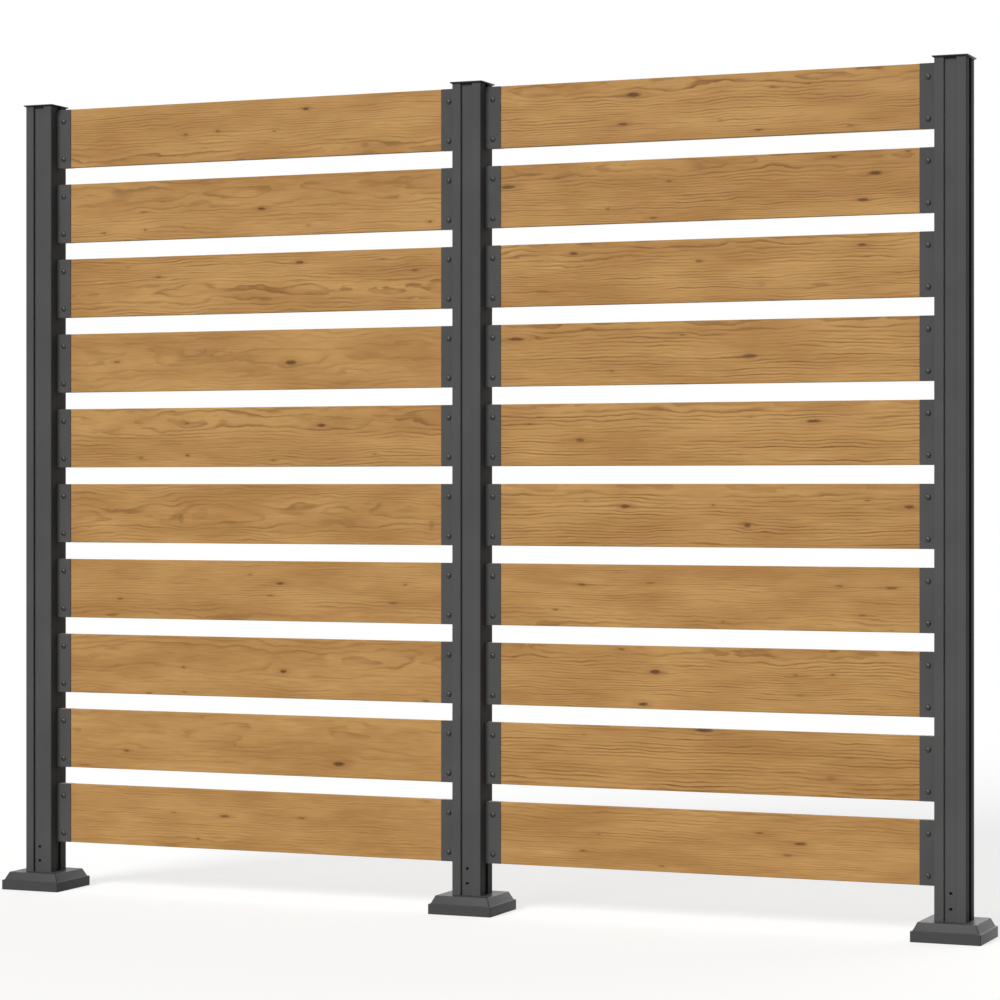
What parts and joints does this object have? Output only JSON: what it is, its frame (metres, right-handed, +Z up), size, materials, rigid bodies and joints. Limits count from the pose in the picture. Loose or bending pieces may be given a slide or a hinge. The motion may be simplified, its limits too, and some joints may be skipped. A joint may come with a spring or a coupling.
{
  "type": "garden privacy screen",
  "caption": "Free-standing garden privacy screen: square aluminium posts on covered feet carry horizontal wooden planks with open gaps between them.",
  "frame": {"origin": "on the ground, at the centre of the middle post's foot", "axes": "+X along the screen to the right as seen from the front, +Y to the rear, +Z up; the screwed front of the brackets faces -Y"},
  "size_m": [2.394, 0.154, 1.8845],
  "materials": {
    "post_aluminium": "anthracite powder coat, fine texture, satin",
    "bracket_aluminium": "anthracite powder coat, fine texture, satin",
    "moulded_plastic": "anthracite, moulded, satin",
    "galvanised_steel": "hot-dip galvanised",
    "plank_wood": "planed softwood, oiled in honey brown",
    "screw_steel": "blackened stainless steel"
  },
  "bodies": {
    "screen": {"post_left": "post_aluminium", "post_cap_left": "moulded_plastic", "floor_flange_left": "galvanised_steel", "foot_screws_left": "screw_steel", "post_middle": "post_aluminium", "post_cap_middle": "moulded_plastic", "floor_flange_middle": "galvanised_steel", "foot_screws_middle": "screw_steel", "post_right": "post_aluminium", "post_cap_right": "moulded_plastic", "floor_flange_right": "galvanised_steel", "foot_screws_right": "screw_steel", "plank_left_bay_01": "plank_wood", "plank_left_bay_02": "plank_wood", "plank_left_bay_03": "plank_wood", "plank_left_bay_04": "plank_wood", "plank_left_bay_05": "plank_wood", "plank_left_bay_06": "plank_wood", "plank_left_bay_07": "plank_wood", "plank_left_bay_08": "plank_wood", "plank_left_bay_09": "plank_wood", "plank_left_bay_10": "plank_wood", "plank_right_bay_01": "plank_wood", "plank_right_bay_02": "plank_wood", "plank_right_bay_03": "plank_wood", "plank_right_bay_04": "plank_wood", "plank_right_bay_05": "plank_wood", "plank_right_bay_06": "plank_wood", "plank_right_bay_07": "plank_wood", "plank_right_bay_08": "plank_wood", "plank_right_bay_09": "plank_wood", "plank_right_bay_10": "plank_wood", "plank_brackets_left_bay_left_end": "bracket_aluminium", "slot_spacers_left_bay_left_end": "bracket_aluminium", "plank_screws_left_bay_left_end": "screw_steel", "plank_brackets_left_bay_right_end": "bracket_aluminium", "slot_spacers_left_bay_right_end": "bracket_aluminium", "plank_screws_left_bay_right_end": "screw_steel", "plank_brackets_right_bay_left_end": "bracket_aluminium", "slot_spacers_right_bay_left_end": "bracket_aluminium", "plank_screws_right_bay_left_end": "screw_steel", "plank_brackets_right_bay_right_end": "bracket_aluminium", "slot_spacers_right_bay_right_end": "bracket_aluminium", "plank_screws_right_bay_right_end": "screw_steel", "bracket_stop_screws": "screw_steel"},
    "cover_left": {"base_cover_left": "moulded_plastic"},
    "cover_middle": {"base_cover_middle": "moulded_plastic"},
    "cover_right": {"base_cover_right": "moulded_plastic"}
  },
  "joints": [
    {"name": "base_cover_left_lift", "type": "slide", "parent": "screen", "child": "cover_left", "axis": [0, 0, 1], "range_m": [0, 0.071]},
    {"name": "base_cover_middle_lift", "type": "slide", "parent": "screen", "child": "cover_middle", "axis": [0, 0, 1], "range_m": [0, 0.071]},
    {"name": "base_cover_right_lift", "type": "slide", "parent": "screen", "child": "cover_right", "axis": [0, 0, 1], "range_m": [0, 0.071]}
  ]
}
